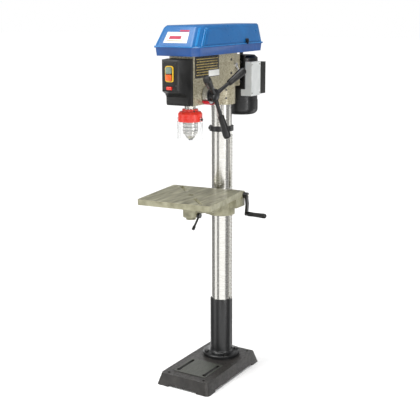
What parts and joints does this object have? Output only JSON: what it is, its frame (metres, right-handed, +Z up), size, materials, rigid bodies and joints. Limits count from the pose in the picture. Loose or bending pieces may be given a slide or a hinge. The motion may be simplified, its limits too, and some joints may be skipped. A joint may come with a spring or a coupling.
{
  "type": "floor drill press",
  "caption": "Floor-standing drill press with a geared square table, a three-arm quill feed, stepped belt pulleys under a hinged cover and a rear motor.",
  "frame": {"origin": "centre of the floor bolt pattern, on the floor", "axes": "+Z up along the column, front towards -Y, operator's right towards +X"},
  "size_m": [0.389, 0.6827, 1.548],
  "materials": {
    "black_paint": "satin",
    "hammertone": "hammered",
    "blue_paint": "semi gloss",
    "red_paint": "semi gloss",
    "base_iron": "painted",
    "table_iron": "ground top",
    "bright_steel": "ground",
    "dark_steel": "blackened",
    "chrome": "polished",
    "cast_aluminium": "turned",
    "black_plastic": "fine grain",
    "yellow_plastic": "satin",
    "green_plastic": "gloss",
    "red_plastic": "gloss",
    "clear_plastic": "clear",
    "belt_rubber": "matt",
    "grey_plastic": "satin",
    "lamp_glass": "frosted"
  },
  "bodies": {
    "stand": {"base_casting": "base_iron", "column_support": "black_paint", "support_bolts": "dark_steel", "column": "bright_steel", "rack_collar": "black_paint", "set_screws": "dark_steel", "head_casting": "hammertone", "front_cover": "black_plastic", "switch_plate": "yellow_plastic", "work_lamp": "lamp_glass", "spring_cap": "hammertone", "return_spring": "dark_steel", "pulley_bearings": "bright_steel", "belt_pan": "blue_paint", "front_belt": "belt_rubber", "depth_stop": "red_paint"},
    "rack": {"rack": "bright_steel"},
    "bracket": {"table_bracket": "table_iron", "tilt_bolt": "dark_steel"},
    "crank": {"worm_shaft": "bright_steel", "crank_arm": "black_paint"},
    "crank_grip": {"crank_grip": "black_plastic"},
    "lift_gear": {"lift_pinion": "dark_steel"},
    "bracket_lock": {"bracket_lock": "black_paint"},
    "arm": {"table_arm": "table_iron"},
    "table": {"table": "table_iron"},
    "table_lock": {"table_lock": "black_paint"},
    "quill": {"quill": "bright_steel", "quill_bearings": "bright_steel", "guard_collar": "red_plastic", "guard_screws": "dark_steel"},
    "spindle": {"spindle": "bright_steel", "chuck_body": "bright_steel"},
    "chuck_sleeve": {"chuck_sleeve": "bright_steel"},
    "jaw_1": {"chuck_jaw_1": "dark_steel"},
    "jaw_2": {"chuck_jaw_2": "dark_steel"},
    "jaw_3": {"chuck_jaw_3": "dark_steel"},
    "shield": {"guard_shield": "clear_plastic"},
    "feed": {"feed_shaft": "bright_steel", "feed_hub": "black_paint", "feed_arms": "dark_steel", "feed_grips": "black_plastic"},
    "depth_ring": {"depth_ring": "cast_aluminium"},
    "spindle_drive": {"spindle_pulley": "cast_aluminium"},
    "idler_arm": {"idler_arm": "dark_steel"},
    "idler": {"idler_pulley": "cast_aluminium"},
    "rear_belt": {"rear_belt": "belt_rubber"},
    "motor": {"motor_mount": "black_paint", "motor_shell": "black_paint", "motor_bells": "black_paint", "capacitor_box": "grey_plastic", "capacitor_cover": "black_plastic"},
    "rotor": {"motor_rotor": "dark_steel", "motor_pulley": "cast_aluminium"},
    "tension_lever": {"tension_lever": "chrome"},
    "lid": {"lid": "blue_paint"},
    "latch": {"latch_knob": "black_plastic"},
    "start_button": {"start_button": "green_plastic"},
    "stop_button": {"stop_button": "red_plastic"},
    "lamp_rocker": {"lamp_rocker": "red_plastic"}
  },
  "joints": [
    {"name": "rack_swing", "type": "hinge", "parent": "stand", "child": "rack", "pos_m": [0, 0.109, 0.7], "axis": [0, 0, 1], "range_deg": [-180, 180]},
    {"name": "table_lift", "type": "slide", "parent": "rack", "child": "bracket", "axis": [0, 0, 1], "range_m": [-0.385, 0.11]},
    {"name": "lift_gear_turn", "type": "hinge", "parent": "bracket", "child": "lift_gear", "pos_m": [0.0677, 0.109, 0.785], "axis": [0, 1, 0], "range_deg": [-395, 1380]},
    {"name": "crank_turn", "type": "hinge", "parent": "bracket", "child": "crank", "pos_m": [0.0677, 0.139, 0.81], "axis": [1, 0, 0], "range_deg": [-16600, 4750]},
    {"name": "crank_grip_turn", "type": "hinge", "parent": "crank", "child": "crank_grip", "pos_m": [0.15, 0.1414, 0.726], "axis": [1, 0, 0], "continuous": true},
    {"name": "bracket_lock_turn", "type": "hinge", "parent": "bracket", "child": "bracket_lock", "pos_m": [-0.074, 0.109, 0.772], "axis": [0, 1, 0], "range_deg": [-30, 30]},
    {"name": "table_tilt", "type": "hinge", "parent": "bracket", "child": "arm", "pos_m": [0, 0.109, 0.775], "axis": [0, 1, 0], "range_deg": [-45, 45]},
    {"name": "table_swivel", "type": "hinge", "parent": "arm", "child": "table", "pos_m": [0, -0.143, 0.8], "axis": [0, 0, 1], "range_deg": [-23, 10]},
    {"name": "table_lock_turn", "type": "hinge", "parent": "arm", "child": "table_lock", "pos_m": [0.04, -0.143, 0.768], "axis": [1, 0, 0], "range_deg": [-30, 30]},
    {"name": "quill_feed", "type": "slide", "parent": "stand", "child": "quill", "axis": [0, 0, -1], "range_m": [0, 0.08], "stiffness_N_per_m": 300, "springref_m": -0.35},
    {"name": "spindle_spin", "type": "hinge", "parent": "quill", "child": "spindle", "pos_m": [0, -0.143, 1.2], "axis": [0, 0, 1], "continuous": true},
    {"name": "chuck_turn", "type": "hinge", "parent": "spindle", "child": "chuck_sleeve", "pos_m": [0, -0.143, 1.13], "axis": [0, 0, 1], "range_deg": [0, 3600]},
    {"name": "jaw_1_slide", "type": "slide", "parent": "spindle", "child": "jaw_1", "axis": [0.1801, 0.104, 0.9781], "range_m": [0, 0.0201]},
    {"name": "jaw_2_slide", "type": "slide", "parent": "spindle", "child": "jaw_2", "axis": [-0.1801, 0.104, 0.9781], "range_m": [0, 0.0201]},
    {"name": "jaw_3_slide", "type": "slide", "parent": "spindle", "child": "jaw_3", "axis": [0, -0.2079, 0.9781], "range_m": [0, 0.0201]},
    {"name": "shield_swing", "type": "hinge", "parent": "quill", "child": "shield", "pos_m": [0, -0.143, 1.172], "axis": [-1, 0, 0], "range_deg": [0, 70]},
    {"name": "feed_turn", "type": "hinge", "parent": "stand", "child": "feed", "pos_m": [0, -0.108, 1.27], "axis": [1, 0, 0], "range_deg": [0, 330]},
    {"name": "depth_ring_turn", "type": "hinge", "parent": "feed", "child": "depth_ring", "pos_m": [0.07, -0.108, 1.27], "axis": [1, 0, 0], "range_deg": [-170, 170]},
    {"name": "spindle_drive_spin", "type": "hinge", "parent": "stand", "child": "spindle_drive", "pos_m": [0, -0.143, 1.46], "axis": [0, 0, 1], "continuous": true},
    {"name": "motor_slide", "type": "slide", "parent": "stand", "child": "motor", "axis": [0, 1, 0], "range_m": [-0.012, 0]},
    {"name": "motor_spin", "type": "hinge", "parent": "motor", "child": "rotor", "pos_m": [0, 0.283, 1.3], "axis": [0, 0, 1], "continuous": true},
    {"name": "idler_swing", "type": "hinge", "parent": "stand", "child": "idler_arm", "pos_m": [-0.048, 0.064, 1.44], "axis": [0, 0, 1], "range_deg": [-7.3, 0]},
    {"name": "idler_spin", "type": "hinge", "parent": "idler_arm", "child": "idler", "pos_m": [0, 0.064, 1.46], "axis": [0, 0, 1], "continuous": true},
    {"name": "rear_belt_slide", "type": "slide", "parent": "stand", "child": "rear_belt", "axis": [0, 1, 0], "range_m": [-0.0061, 0]},
    {"name": "tension_lever_turn", "type": "hinge", "parent": "stand", "child": "tension_lever", "pos_m": [0.06, 0.121, 1.378], "axis": [1, 0, 0], "range_deg": [-60.5, 0]},
    {"name": "lid_open", "type": "hinge", "parent": "stand", "child": "lid", "pos_m": [-0.114, -0.226, 1.472], "axis": [-0.0462, -0.9989, 0], "range_deg": [0, 95]},
    {"name": "latch_turn", "type": "hinge", "parent": "lid", "child": "latch", "pos_m": [0.09, 0.169, 1.48], "axis": [1, 0, 0], "range_deg": [0, 90]},
    {"name": "start_press", "type": "slide", "parent": "stand", "child": "start_button", "axis": [0, 1, 0], "range_m": [0, 0.003], "stiffness_N_per_m": 500, "springref_m": -0.003},
    {"name": "stop_press", "type": "slide", "parent": "stand", "child": "stop_button", "axis": [0, 1, 0], "range_m": [0, 0.003], "stiffness_N_per_m": 500, "springref_m": -0.003},
    {"name": "rocker_press", "type": "hinge", "parent": "stand", "child": "lamp_rocker", "pos_m": [0, -0.29, 1.308], "axis": [1, 0, 0], "range_deg": [0, 16]}
  ],
  "couplings": [
    {"joint": "lift_gear_turn", "follows": "table_lift", "rad_per_m": -62.5},
    {"joint": "crank_turn", "follows": "table_lift", "rad_per_m": 750},
    {"joint": "feed_turn", "follows": "quill_feed", "rad_per_m": 71.429},
    {"joint": "spindle_drive_spin", "follows": "motor_spin", "ratio": 0.47347},
    {"joint": "spindle_spin", "follows": "motor_spin", "ratio": 0.47347},
    {"joint": "idler_spin", "follows": "motor_spin", "ratio": 0.58621},
    {"joint": "idler_swing", "follows": "motor_slide", "rad_per_m": 10.42},
    {"joint": "rear_belt_slide", "follows": "motor_slide", "ratio": 0.5},
    {"joint": "tension_lever_turn", "follows": "motor_slide", "rad_per_m": 87.266},
    {"joint": "jaw_1_slide", "follows": "chuck_turn", "m_per_rad": 0.000318},
    {"joint": "jaw_2_slide", "follows": "chuck_turn", "m_per_rad": 0.000318},
    {"joint": "jaw_3_slide", "follows": "chuck_turn", "m_per_rad": 0.000318}
  ]
}
